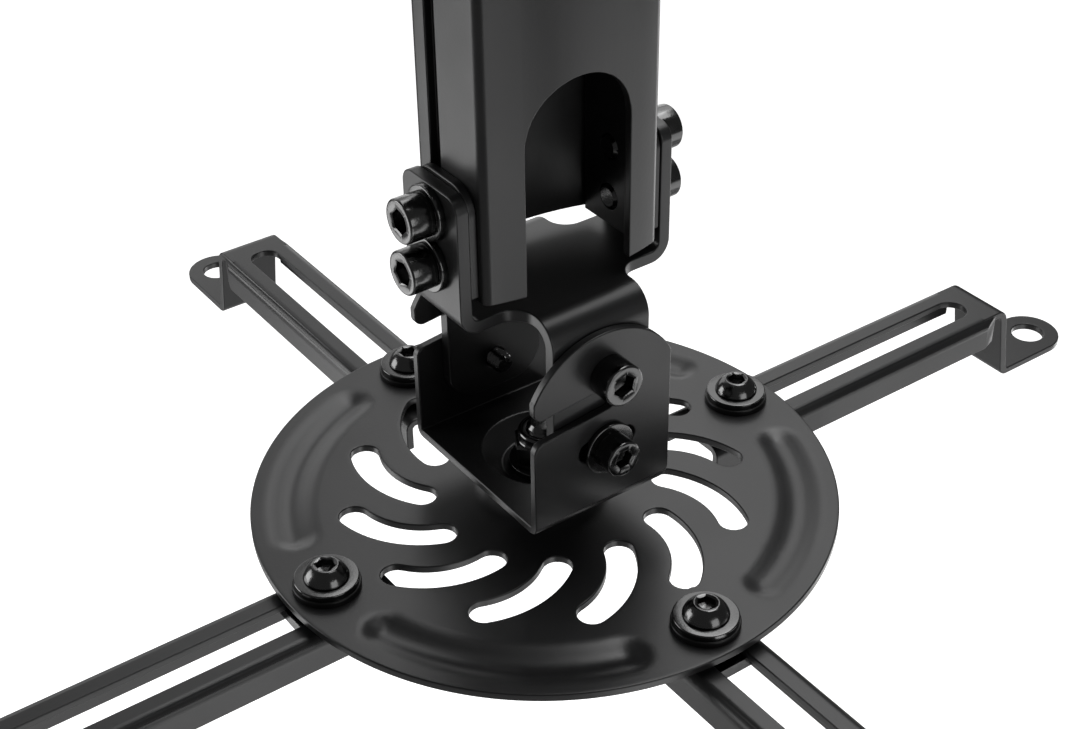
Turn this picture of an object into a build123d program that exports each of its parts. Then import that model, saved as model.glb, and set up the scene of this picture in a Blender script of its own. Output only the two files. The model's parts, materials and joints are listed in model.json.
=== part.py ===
"""Projector ceiling mount: a ceiling plate and sleeve, a telescopic column, a two-axis
joint folded from sheet steel, and a slotted disc that carries four sliding arms.

Millimetres, +Z up. The origin is the centre of the ceiling plate's top face, and
everything hangs below it. +X and +Y run along the arms. The column's arched opening
faces -Y.
"""
from build123d import *

import os
from math import acos, cos, degrees, radians, sin, sqrt, tan

# Fasteners, metric socket screws
m6_r = 3.0                # M6 shank radius
m6_head_r = 5.0           # socket cap head radius
m6_head_h = 6.0
m6_socket_flats = 5.0     # hexagon key size
m6_socket_depth = 3.0
m6_nut_flats = 10.0
m6_nut_h = 5.0
m6_washer_r = 6.25
m6_washer_t = 1.6
m5_r = 2.5                # M5 shank radius
m5_head_r = 4.4
m5_head_h = 5.0
m5_socket_flats = 4.0
m5_socket_depth = 2.5
m5_washer_t = 1.3
m8_r = 4.0                # pivot bolt shank radius
m8_head_flats = 13.0
m8_head_h = 5.3
m8_nut_h = 8.6
m8_nut_flats = 13.0
m8_collar_h = 2.6         # round collar on top of the nut
m8_collar_step = 0.5      # collar's radius under the hexagon's flats
m8_collar_wall = 0.9
m8_ring_h = 2.3           # nylon ring inside the collar
running_fit = 0.05        # radial clearance where a pin turns in its hole
thread_gap = 0.05         # radial clearance left for a thread
bolt_hole_gap = 0.2       # radial clearance of a plain bolt hole
tip_out = 4.0             # how far a joint screw's tip stands through its thread
flush_tip = 0.5           # how far the ear screws' tips stand inside the column
nut_plate_tip = 1.0       # the same for the screws at the top of the sleeve
near = 0.01               # tolerance for picking edges and corners
past = 1.0                # how far a cut runs past a face
through = 80.0            # half length of a cut that goes right through both sides

# Ceiling plate and its bracket
plate_x, plate_y, plate_t = 136.0, 96.0, 3.0
plate_corner = 14.0
plate_hole_x, plate_hole_y = 104.0, 64.0
plate_hole_r = 3.5
cable_hole_r = 13.0
bracket_t = 3.0
bracket_bend = 2.0        # inner bend radius
bracket_half_y = 14.0
bracket_ear_h = 40.0
bracket_screw_pitch = 14.0
sleeve_plate_half_y = 8.3  # threaded plates inside the sleeve's top

# Column: two nested channels with bowed front and back, inside a plain sleeve
column_half_x = 23.0
column_side_y = 12.0      # half depth at the corners
column_bow = 3.3          # how far the front and back stand out at the middle
column_bend = 2.5         # outer radius of the column's corners
front_t = 2.0
rear_t = 2.4
front_flange_y = 2.9      # where the front channel's flanges end
groove_w = 3.6            # open groove between the two channels
rear_flange_y = -7.0      # where the rear channel's flanges end inside
column_show = 99.0        # length of column below the sleeve at rest
column_clear = 7.5        # between the column's top and the plates in the sleeve
sleeve_t = 2.2
sleeve_gap = 0.4
sleeve_len = 207.0
arch_half_x = 13.5
arch_h = 47.9             # from the column's lower end to the top of the arch
lock_rise = 15.0          # height of the lock screws above the sleeve's lower end
lock_y = -3.0
lock_lift = 1.5           # from the welded nut to the lock screw's head
lock_clear = 0.1          # from the lock screw's tip to the column's side

# Yoke: one blank, two ears up beside the column and two tongues down
yoke_t = 3.0
yoke_bend = 2.0           # inner bend radius
tongue_bend = 3.5
web_gap = 4.0             # between the column's lower end and the yoke's web
ear_half_y = 10.3
ear_h = 30.0              # above the web's top face
ear_corner = 3.5
ear_pivot_h = 23.5        # above the web's top face
ear_screw_pitch = 12.4
ear_swing = 12.0          # degrees each way
spacer_t = 2.0            # plate between ear and column
spacer_half_y = 10.0
spacer_foot = 1.5         # how far the plate starts above the column's end
spacer_h = 25.5
spacer_corner = 6.0
tongue_half_x = 13.0
tongue_half_y = 22.3
tongue_corner = 8.0
blank_corner = 5.0        # inner corners of the cross-shaped blank
cradle_pivot_drop = 15.5  # pivot below the web's top face
tongue_reach = 28.0       # tongue end below the pivot

# Cradle: a channel hooked over the pivot screws
cradle_t = 2.0
cradle_gap = 0.2          # between tongue and cradle wall
cradle_bend = 0.4         # inner bend radius
cradle_left_x = -19.7     # the side on which the hook slots open
cradle_right_x = 17.7
cradle_floor_drop = 34.5  # floor's top face below the pivot
cradle_crown = 10.9       # top of the wall above the pivot
cradle_shoulder = 0.5     # where the wall's round top starts, below the pivot
clamp_drop = 19.6         # clamp screw below the pivot
clamp_washer_r = 6.4
cradle_swing = 15.0       # degrees each way
hook_mouth_drop = 8.6     # centre of the hook slot's mouth below the pivot
hook_turn_drop = 6.4      # centre of the hook slot's inner end below the pivot
cradle_foot_corner = 4.0
hook_corner = 2.5
boss_depth = 4.5          # dish pressed down in the floor
boss_r = 10.0             # flat inside the dish
boss_slope = 4.5          # how much wider it is at the floor

# Swivel
friction_t, friction_r = 1.0, 9.6
pivot_washer_t, pivot_washer_r = 1.6, 8.3
pivot_tip = 1.5           # bolt end above the nut

# Disc
disc_r = 70.0
disc_t = 2.0
disc_rise = 4.5           # raised centre
disc_rise_r = 10.0        # flat on top of the raised centre
disc_rise_slope = 5.5
arm_bolt_pcr = 60.0       # radius of the circle of arm bolts
swirl_count = 12
swirl_arc_r = 22.15       # centre line of each curved slot
swirl_w = 7.0
swirl_in_r = 29.3         # distance of the slot's inner end from the axis
swirl_out_r = 46.0
swirl_centre_r = 28.9     # distance of the slot's arc centre from the axis
swirl_turn = -134.8       # direction of the first slot's arc centre, degrees
rib_r = 60.5
rib_half_w = 5.25
rib_floor_half_w = 1.2    # flat along the bottom of the bead
rib_depth = 1.5
rib_half_angle = 26.0

# Arms
arm_count = 4
arm_drop = 1.8            # spacer between disc and arm
arm_t = 2.0
arm_half_y = 10.5
arm_bend = 1.0
arm_deep = 8.8            # channel depth over the flanges
arm_in_r = 45.5           # inner end from the disc's axis
arm_len = 105.5
arm_slot_w = 8.4
arm_slot_in = 6.5         # from the arm's inner end to the slot
arm_slot_out = 8.5        # from the slot to the arm's outer end
arm_neck = 9.0            # length of the end that narrows to the strip, without flanges
arm_flange_out = 4.5      # how far short of the end the flanges stop
step_bend = 2.0           # inner bend radius at the top of the step
step_slant = 9.0          # degrees by which the step leans outwards
arm_foot_drop = 23.2      # underside of the eyelet tab below the arm's top face
tab_reach = 22.0          # eyelet centre beyond the arm's end
tab_r = 8.9               # also half the width of the strip
eyelet_r = 4.5
nut_plate_len, nut_plate_t = 18.0, 3.0
nut_plate_gap = 0.1       # play of the nut plate between the arm's flanges
arm_spacer_r = 7.65
button_r, button_top_r, button_h = 5.25, 2.9, 3.3
button_flats = 4.0
top_washer_t, top_washer_r = 1.5, 7.4
pad_washer_t, pad_washer_r = 1.5, 7.8
arm_bolt_tip = 1.2        # bolt end below the nut plate

# Heights that follow, from the ceiling down
sleeve_top = -plate_t - bracket_t - bracket_bend
sleeve_end = sleeve_top - sleeve_len
bracket_screw_z = [sleeve_top - bracket_ear_h / 2 + s * bracket_screw_pitch / 2 for s in (-1, 1)]
sleeve_plate_end = bracket_screw_z[0] - m6_head_r
column_top = sleeve_plate_end - column_clear
column_end = sleeve_end - column_show
column_len = column_top - column_end
web_top = column_end - web_gap
ear_pivot_z = web_top + ear_pivot_h
pivot_z = web_top - cradle_pivot_drop
floor_top = pivot_z - cradle_floor_drop
boss_top = floor_top - boss_depth
boss_under = boss_top - cradle_t
disc_top = boss_under - friction_t - disc_rise
arm_top = disc_top - disc_t - arm_drop

# Widths that follow, from the column outwards
sleeve_half_x = column_half_x + sleeve_gap + sleeve_t
ear_in_x = column_half_x + spacer_t
ear_out_x = ear_in_x + yoke_t
wall_in_y = tongue_half_y + cradle_gap
wall_out_y = wall_in_y + cradle_t


def rounded(points):
    """A closed outline through (x, y, corner radius) points."""
    face = make_face(Polyline(*[(x, y) for x, y, _ in points], close=True))
    for x, y, r in points:
        if r > 0:
            face = fillet(face.vertices().sort_by_distance((x, y, 0))[0], r)
    return face


def u_section(half_w, height, t, r):
    """A channel's section, open upwards, its web from y = 0 to t, inner bend radius r."""
    outer = rounded([(-half_w, 0, r + t), (half_w, 0, r + t), (half_w, height, 0), (-half_w, height, 0)])
    in_w = half_w - t
    inner = rounded([(-in_w, t, r), (in_w, t, r), (in_w, height + t, 0), (-in_w, height + t, 0)])
    return outer - inner


def across_y(z):
    """Sketch plane with x along +Y and y along +Z, at height z."""
    return Plane(origin=(0, 0, z), x_dir=(0, 1, 0), z_dir=(1, 0, 0))


def across_x(z):
    """Sketch plane with x along +X and y along +Z, at height z."""
    return Plane(origin=(0, 0, z), x_dir=(1, 0, 0), z_dir=(0, -1, 0))


def rod_x(x0, x1, r, y, z):
    """A round rod along X from x0 to x1."""
    return Plane(origin=(x0, y, z), z_dir=(1 if x1 > x0 else -1, 0, 0)) * Cylinder(
        r, abs(x1 - x0), align=(Align.CENTER, Align.CENTER, Align.MIN))


def rod_y(y0, y1, r, x, z):
    """A round rod along Y from y0 to y1."""
    return Plane(origin=(x, y0, z), z_dir=(0, 1 if y1 > y0 else -1, 0)) * Cylinder(
        r, abs(y1 - y0), align=(Align.CENTER, Align.CENTER, Align.MIN))


def rod_z(z0, z1, r, x=0.0, y=0.0):
    """A round rod along Z from z0 up to z1."""
    return Pos(x, y, z0) * Cylinder(r, z1 - z0, align=(Align.CENTER, Align.CENTER, Align.MIN))


def hexagon(flats):
    """A hexagon of a given width across flats."""
    return RegularPolygon(flats / sqrt(3), 6)


m6_cap = (m6_r, m6_head_r, m6_head_h, m6_socket_flats, m6_socket_depth)
m5_cap = (m5_r, m5_head_r, m5_head_h, m5_socket_flats, m5_socket_depth)


def cap_screw(seat, out, shank_len, size=m6_cap):
    """A socket cap screw whose head sits at the point seat and points along out."""
    r, head_r, head_h, flats, depth = size
    socket = extrude(Pos(0, 0, head_h) * hexagon(flats), amount=-depth)
    return Plane(origin=seat, z_dir=out) * (rod_z(0, head_h, head_r) - socket + rod_z(-shank_len, 0, r))


def washer(seat, out, r, hole_r, t):
    """A flat washer lying on the point seat, its thickness along out."""
    ring = Circle(r) - Circle(hole_r)
    return Plane(origin=seat, z_dir=out) * extrude(ring, amount=t)


def column_outline(grow=0.0):
    """The column's outer section, square at the sides and bowed front and back."""
    hx, sy = column_half_x + grow, column_side_y + grow
    apex = column_side_y + column_bow + grow
    edges = [Line((hx, -sy), (hx, sy)), ThreePointArc((hx, sy), (0, apex), (-hx, sy)),
             Line((-hx, sy), (-hx, -sy)), ThreePointArc((-hx, -sy), (0, -apex), (hx, -sy))]
    face = make_face(Curve() + edges)
    corner = column_bend + grow
    return fillet(face.vertices(), corner) if corner > running_fit else face


def side_pair(solid):
    """A piece and its mirror image on the other side of the column."""
    return [solid, mirror(solid, about=Plane.YZ)]


def front_back(solid):
    """A piece and its mirror image on the other side of the yoke."""
    return [solid, mirror(solid, about=Plane.XZ)]


def make_ceiling_plate():
    plate = RectangleRounded(plate_x, plate_y, plate_corner)
    for sx in (-1, 1):
        for sy in (-1, 1):
            plate -= Pos(sx * plate_hole_x / 2, sy * plate_hole_y / 2) * Circle(plate_hole_r)
    return extrude(plate - Circle(cable_hole_r), amount=-plate_t)


def make_ceiling_bracket():
    """A channel, open downwards, whose ears hold the sleeve between them."""
    section = u_section(sleeve_half_x + bracket_t, bracket_ear_h + bracket_t, bracket_t, bracket_bend)
    plane = Plane(origin=(0, 0, -plate_t), x_dir=(1, 0, 0), z_dir=(0, 1, 0))
    body = extrude(plane * section, amount=bracket_half_y, both=True)
    body -= rod_z(-plate_t - bracket_t, -plate_t, cable_hole_r)
    for z in bracket_screw_z:
        body -= rod_x(-through, through, m6_r + bolt_hole_gap, 0, z)
    return body


def make_bracket_screws():
    seat_x = sleeve_half_x + bracket_t + m6_washer_t
    grip = seat_x - (column_half_x + sleeve_gap) + rear_t + nut_plate_tip
    return [s for z in bracket_screw_z for s in side_pair(cap_screw((seat_x, 0, z), (1, 0, 0), grip))]


def make_bracket_washers():
    seat_x = sleeve_half_x + bracket_t
    ring = [washer((seat_x, 0, z), (1, 0, 0), m6_washer_r, m6_r + bolt_hole_gap, m6_washer_t)
            for z in bracket_screw_z]
    return [s for w in ring for s in side_pair(w)]


def make_sleeve_nut_plates():
    """Threaded plates inside the sleeve's top, one each side."""
    x0 = column_half_x + sleeve_gap
    plate = Pos(x0, 0, sleeve_plate_end) * Box(
        rear_t, 2 * sleeve_plate_half_y, bracket_screw_pitch + 2 * m6_head_r,
        align=(Align.MAX, Align.CENTER, Align.MIN))
    for z in bracket_screw_z:
        plate -= rod_x(x0 - 2 * rear_t, x0 + past, m6_r + thread_gap, 0, z)
    return side_pair(plate)


def make_upper_sleeve():
    ring = column_outline(sleeve_gap + sleeve_t) - column_outline(sleeve_gap)
    body = extrude(Pos(0, 0, sleeve_end) * ring, amount=sleeve_len)
    for z in bracket_screw_z:
        body -= rod_x(-through, through, m6_r + bolt_hole_gap, 0, z)
    return body - rod_x(-through, through, m6_r + bolt_hole_gap, lock_y, sleeve_end + lock_rise)


def make_sleeve_weld_nuts():
    nut = extrude(hexagon(m6_nut_flats) - Circle(m6_r + thread_gap), amount=m6_nut_h)
    seat = Plane(origin=(sleeve_half_x, lock_y, sleeve_end + lock_rise), z_dir=(1, 0, 0))
    return side_pair(seat * nut)


def make_column_lock_screws():
    """Screws through the welded nuts, their tips just off the column's side."""
    seat_x = sleeve_half_x + m6_nut_h + lock_lift
    shank = seat_x - column_half_x - lock_clear
    return side_pair(cap_screw((seat_x, lock_y, sleeve_end + lock_rise), (1, 0, 0), shank))


def ear_screw_holes(r):
    """Rods for both ear screws, right through the column."""
    return [rod_x(-through, through, r, 0, z) for z in (ear_pivot_z, ear_pivot_z - ear_screw_pitch)]


def make_column_front_channel():
    ring = column_outline() - column_outline(-front_t)
    half = Pos(0, front_flange_y) * Rectangle(4 * column_half_x, 4 * column_half_x,
                                              align=(Align.CENTER, Align.MAX))
    body = extrude(Pos(0, 0, column_end) * (ring & half), amount=column_len)
    door = rounded([(-arch_half_x, 0, 0), (arch_half_x, 0, 0), (arch_half_x, arch_h, arch_half_x - near),
                    (-arch_half_x, arch_h, arch_half_x - near)])
    body -= extrude(across_x(column_end) * door, amount=2 * column_side_y)
    for hole in ear_screw_holes(m6_r + thread_gap):
        body -= hole
    return body


def make_column_rear_channel():
    groove_end = front_flange_y + groove_w
    ring = column_outline() - column_outline(-rear_t)
    half = Pos(0, groove_end) * Rectangle(4 * column_half_x, 4 * column_half_x,
                                          align=(Align.CENTER, Align.MIN))
    section = ring & half
    out_x = column_half_x - front_t
    for side in (-1, 1):
        flange = rounded([(side * out_x, rear_flange_y, 0), (side * out_x, groove_end, 0),
                          (side * column_half_x, groove_end, 0),
                          (side * column_half_x, groove_end + rear_t, 0),
                          (side * (out_x - rear_t), groove_end + rear_t, 0),
                          (side * (out_x - rear_t), rear_flange_y, 0)])
        section += flange
    body = extrude(Pos(0, 0, column_end) * (section & column_outline()), amount=column_len)
    for hole in ear_screw_holes(m6_r + thread_gap):
        body -= hole
    return body


def make_ear_spacers():
    """Plates between the ears and the column, rounded at the top."""
    outline = rounded([(-spacer_half_y, 0, 0), (spacer_half_y, 0, 0),
                       (spacer_half_y, spacer_h, spacer_corner), (-spacer_half_y, spacer_h, spacer_corner)])
    plane = across_y(column_end + spacer_foot).offset(column_half_x)
    plate = extrude(plane * outline, amount=spacer_t)
    for hole in ear_screw_holes(m6_r + thread_gap):
        plate -= hole
    return side_pair(plate)


def make_ear_screws():
    seat_x = ear_out_x + m6_washer_t
    shank = seat_x - (column_half_x - front_t - rear_t) + flush_tip
    return [s for z in (ear_pivot_z, ear_pivot_z - ear_screw_pitch)
            for s in side_pair(cap_screw((seat_x, 0, z), (1, 0, 0), shank))]


def make_ear_washers():
    return [s for z in (ear_pivot_z, ear_pivot_z - ear_screw_pitch)
            for s in side_pair(washer((ear_out_x, 0, z), (1, 0, 0), m6_washer_r,
                                      m6_r + bolt_hole_gap, m6_washer_t))]


def arc_slot(arc_r, half_angle, half_w):
    """A curved slot below the sketch's origin, along an arc about that origin."""
    def at(r, angle):
        return (r * sin(radians(angle)), -r * cos(radians(angle)))
    lo, hi = arc_r - half_w, arc_r + half_w
    edges = [ThreePointArc(at(hi, -half_angle), at(hi, 0), at(hi, half_angle)),
             ThreePointArc(at(lo, -half_angle), at(lo, 0), at(lo, half_angle)),
             Line(at(lo, -half_angle), at(hi, -half_angle)), Line(at(lo, half_angle), at(hi, half_angle))]
    slot = make_face(Curve() + edges)
    for side in (-1, 1):
        x, y = at(arc_r, side * half_angle)
        slot += Pos(x, y) * Circle(half_w)
    return slot


def make_yoke():
    """One folded blank: the web, two ears up at the sides, two tongues down front and back."""
    ears = u_section(ear_out_x, ear_h + yoke_t, yoke_t, yoke_bend)
    body = extrude(across_x(web_top - yoke_t) * ears, amount=ear_half_y, both=True)
    tongue_h = cradle_pivot_drop + tongue_reach
    down = Plane(origin=(0, 0, web_top), x_dir=(0, 1, 0), z_dir=(-1, 0, 0))
    tongues = extrude(down * u_section(tongue_half_y, tongue_h, yoke_t, tongue_bend),
                      amount=tongue_half_x, both=True)
    ends = rounded([(-tongue_half_x, 0, 0), (tongue_half_x, 0, 0), (tongue_half_x, -tongue_h, tongue_corner),
                    (-tongue_half_x, -tongue_h, tongue_corner)])
    tongues &= extrude(across_x(web_top) * ends, amount=2 * tongue_half_y, both=True)
    body += tongues
    upright = [(e, e.center()) for e in body.edges().filter_by(Axis.Z)]
    corners = [e for e, c in upright
               if abs(abs(c.X) - tongue_half_x) < near and abs(abs(c.Y) - ear_half_y) < near]
    body = fillet(corners, blank_corner)
    tops = [e for e in body.edges().filter_by(Axis.X)
            if abs(e.center().Z - web_top - ear_h) < near and abs(e.length - yoke_t) < near]
    body = fillet(tops, ear_corner)
    body -= rod_x(-through, through, m6_r + running_fit, 0, ear_pivot_z)
    slot = arc_slot(ear_screw_pitch, ear_swing, m6_r + bolt_hole_gap)
    body -= extrude(across_y(ear_pivot_z) * slot, amount=through, both=True)
    for z, r in ((pivot_z, m6_r), (pivot_z - clamp_drop, m5_r)):
        body -= rod_y(-through, through, r + thread_gap, 0, z)
    return body


def make_cradle():
    """The channel under the yoke: hook slots over the pivot screws, curved clamp slots,
    and a dish pressed down in its floor for the swivel."""
    left, right, shoulder = cradle_left_x, cradle_right_x, -cradle_shoulder
    depth = cradle_floor_drop + cradle_t
    section = u_section(wall_out_y, depth + cradle_crown, cradle_t, cradle_bend)
    body = extrude(across_y(pivot_z - depth).offset(left) * section, amount=right - left)
    crown = make_face(Curve() + [
        Line((left, -depth), (right, -depth)), Line((right, -depth), (right, shoulder)),
        ThreePointArc((right, shoulder), (0, cradle_crown), (left, shoulder)),
        Line((left, shoulder), (left, -depth))])
    half_w = m6_r + running_fit
    mouth_x = left - past
    mouth_y, turn_y = -hook_mouth_drop, -hook_turn_drop
    crown -= make_face(Polyline((mouth_x, mouth_y - half_w), (0, turn_y - half_w), (0, turn_y + half_w),
                                (mouth_x, mouth_y + half_w), close=True))
    crown -= Pos(0, -hook_turn_drop) * Circle(half_w)
    crown -= Pos(0, -hook_turn_drop / 2) * Rectangle(2 * half_w, hook_turn_drop)
    crown -= Circle(half_w)
    mouth = [v for v in crown.vertices() if abs(v.X - left) < near and abs(v.Y - mouth_y) < 2 * half_w]
    crown = fillet(mouth, hook_corner)
    foot = [v for v in crown.vertices() if abs(v.X - right) < near and abs(v.Y + depth) < near]
    crown = fillet(foot, cradle_foot_corner)
    crown -= arc_slot(clamp_drop, cradle_swing, m5_r + bolt_hole_gap)
    body &= extrude(across_x(pivot_z) * crown, amount=2 * wall_out_y, both=True)
    dish = [(0, floor_top), (boss_r + boss_slope, floor_top), (boss_r, boss_top), (0, boss_top)]
    shell = [(x, z - cradle_t) for x, z in dish]
    for outline, add in ((shell, True), (dish, False)):
        turned = revolve(Plane.XZ * make_face(Polyline(*outline, close=True)), axis=Axis.Z)
        body = body + turned if add else body - turned
    return body - rod_z(boss_under - past, boss_top + past, m8_r + running_fit)


def make_cradle_pivot_screws():
    reach = wall_out_y - tongue_half_y + yoke_t + tip_out
    return front_back(cap_screw((0, -wall_out_y, pivot_z), (0, -1, 0), reach))


def make_cradle_clamp_screws():
    reach = wall_out_y - tongue_half_y + yoke_t + tip_out
    seat_y = -wall_out_y - m5_washer_t
    return front_back(cap_screw((0, seat_y, pivot_z - clamp_drop), (0, -1, 0), reach + m5_washer_t, m5_cap))


def make_cradle_clamp_washers():
    return front_back(washer((0, -wall_out_y, pivot_z - clamp_drop), (0, -1, 0), clamp_washer_r,
                             m5_r + bolt_hole_gap, m5_washer_t))


bolt_seat = disc_top + disc_rise - disc_t     # underside of the disc's raised centre
nut_seat = boss_top + pivot_washer_t
nut_top = nut_seat + m8_nut_h


def make_pivot_bolt():
    head = extrude(Pos(0, 0, bolt_seat) * hexagon(m8_head_flats), amount=-m8_head_h)
    return head + rod_z(bolt_seat, nut_top + pivot_tip, m8_r)


def make_pivot_friction_washer():
    return washer((0, 0, disc_top + disc_rise), (0, 0, 1), friction_r, m8_r + bolt_hole_gap, friction_t)


def make_pivot_washer():
    return washer((0, 0, boss_top), (0, 0, 1), pivot_washer_r, m8_r + bolt_hole_gap, pivot_washer_t)


def make_pivot_nut():
    """A lock nut: a hexagon with a round collar on top, hollowed for the nylon ring."""
    collar_r = m8_nut_flats / 2 - m8_collar_step
    nut = extrude(Pos(0, 0, nut_seat) * hexagon(m8_nut_flats), amount=m8_nut_h - m8_collar_h)
    nut += rod_z(nut_top - m8_collar_h, nut_top, collar_r)
    nut -= rod_z(nut_top - m8_collar_h, nut_top + past, collar_r - m8_collar_wall)
    return nut - rod_z(nut_seat - past, nut_top + past, m8_r + thread_gap)


def make_pivot_nut_ring():
    """The nylon ring that locks the nut."""
    ring_r = m8_nut_flats / 2 - m8_collar_step - m8_collar_wall
    return washer((0, 0, nut_top - m8_collar_h), (0, 0, 1), ring_r, m8_r + thread_gap, m8_ring_h)


def polar(r, angle):
    """A point at radius r and an angle in degrees."""
    return (r * cos(radians(angle)), r * sin(radians(angle)))


def along_swirl(reach):
    """The angle, about a swirl slot's arc centre, of its point at distance reach from the axis."""
    turn = (swirl_centre_r ** 2 + swirl_arc_r ** 2 - reach ** 2) / (2 * swirl_centre_r * swirl_arc_r)
    return swirl_turn + 180 - degrees(acos(turn))


def swirl_slot():
    """One curved slot, its two ends at their own distances from the axis."""
    cx, cy = polar(swirl_centre_r, swirl_turn)
    a0, a1 = along_swirl(swirl_in_r), along_swirl(swirl_out_r)
    lo, hi = swirl_arc_r - swirl_w / 2, swirl_arc_r + swirl_w / 2

    def at(r, angle):
        x, y = polar(r, angle)
        return (cx + x, cy + y)
    mid = (a0 + a1) / 2
    edges = [ThreePointArc(at(r, a0), at(r, mid), at(r, a1)) for r in (lo, hi)]
    edges += [Line(at(lo, a), at(hi, a)) for a in (a0, a1)]
    slot = make_face(Curve() + edges)
    for angle in (a0, a1):
        x, y = at(swirl_arc_r, angle)
        slot += Pos(x, y) * Circle(swirl_w / 2)
    return slot


def rib():
    """A pressed bead along an arc of the disc, with sloping sides, a narrow flat bottom and round ends."""
    section = [(-rib_half_w, 0), (rib_half_w, 0), (rib_floor_half_w, -rib_depth),
               (-rib_floor_half_w, -rib_depth)]
    outline = make_face(Polyline(*[(rib_r + x, disc_top + z) for x, z in section], close=True))
    bead = revolve(Plane.XZ * outline, axis=Axis.Z, revolution_arc=2 * rib_half_angle)
    end = Pos(0, 0, disc_top - rib_depth) * Cone(rib_floor_half_w, rib_half_w, rib_depth,
                                                 align=(Align.CENTER, Align.CENTER, Align.MIN))
    for angle in (0, 2 * rib_half_angle):
        bead += Pos(*polar(rib_r, angle)) * end
    return Rot(0, 0, 45 - rib_half_angle) * bead


def make_disc():
    """Flat plate with a raised centre, curved slots and four beads pressed downwards."""
    outline = [(0, disc_top + disc_rise), (disc_rise_r, disc_top + disc_rise),
               (disc_rise_r + disc_rise_slope, disc_top), (disc_r, disc_top), (disc_r, disc_top - disc_t),
               (disc_rise_r + disc_rise_slope - disc_t, disc_top - disc_t),
               (disc_rise_r - disc_t, bolt_seat), (0, bolt_seat)]
    body = revolve(Plane.XZ * make_face(Polyline(*outline, close=True)), axis=Axis.Z)
    bead = rib()
    for k in range(arm_count):
        body += Rot(0, 0, 360 / arm_count * k) * (Pos(0, 0, -disc_t) * bead)
    for k in range(arm_count):
        body -= Rot(0, 0, 360 / arm_count * k) * bead
    slot = swirl_slot()
    cuts = Sketch() + [Rot(0, 0, 360 / swirl_count * k) * slot for k in range(swirl_count)]
    body -= extrude(Pos(0, 0, disc_top + past) * cuts, amount=-disc_t - 2 * past)
    for k in range(arm_count):
        x, y = polar(arm_bolt_pcr, 360 / arm_count * k)
        body -= rod_z(disc_top - disc_t - past, disc_top + past, m6_r + running_fit, x, y)
    return body - rod_z(bolt_seat - past, disc_top + disc_rise + past, m8_r + running_fit)


def around_disc(solid):
    """Copies of a piece made on the +X arm, one for each arm."""
    return [Rot(0, 0, 360 / arm_count * k) * solid for k in range(arm_count)]


washer_top = disc_top + pad_washer_t + top_washer_t
nut_plate_top = arm_top - arm_t


def make_arm_bolts():
    """Button-head bolts: a domed head with a hexagon socket, and a shank down through the nut plate."""
    shoulder = button_h / 3
    profile = make_face(Polyline((0, 0), (button_r, 0), (button_r, shoulder), (button_top_r, button_h),
                                 (0, button_h), close=True))
    head = revolve(Plane.XZ * profile, axis=Axis.Z)
    head -= extrude(Pos(0, 0, button_h) * hexagon(button_flats), amount=-button_h / 2)
    shank = rod_z(nut_plate_top - nut_plate_t - arm_bolt_tip - washer_top, 0, m6_r)
    return around_disc(Pos(arm_bolt_pcr, 0, washer_top) * (head + shank))


def make_arm_top_washers():
    return around_disc(washer((arm_bolt_pcr, 0, disc_top + pad_washer_t), (0, 0, 1), top_washer_r,
                              m6_r + bolt_hole_gap, top_washer_t))


def make_arm_pad_washers():
    return around_disc(washer((arm_bolt_pcr, 0, disc_top), (0, 0, 1), pad_washer_r,
                              m6_r + bolt_hole_gap, pad_washer_t))


def make_arm_spacers():
    return around_disc(washer((arm_bolt_pcr, 0, arm_top), (0, 0, 1), arm_spacer_r,
                              m6_r + bolt_hole_gap, arm_drop))


def make_nut_plate():
    """A square-edged threaded plate that runs between the arm's flanges."""
    half_w = arm_half_y - arm_t - nut_plate_gap
    section = Rectangle(2 * half_w, nut_plate_t, align=(Align.CENTER, Align.MAX))
    section = chamfer(section.vertices().sort_by(Axis.Y)[-2:], arm_bend)
    plane = Plane(origin=(arm_bolt_pcr, 0, nut_plate_top), x_dir=(0, 1, 0), z_dir=(1, 0, 0))
    plate = extrude(plane * section, amount=nut_plate_len / 2, both=True)
    hole = rod_z(nut_plate_top - nut_plate_t - past, nut_plate_top + past, m6_r + running_fit, arm_bolt_pcr)
    return plate - hole


def tab_outline(start_x, tip_x):
    """The strip from the arm's end, seen from above, with its round tip."""
    strip = Rectangle(tip_x - start_x, 2 * tab_r, align=(Align.MIN, Align.CENTER))
    return Pos(start_x, 0) * strip + Pos(tip_x, 0) * Circle(tab_r)


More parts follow.
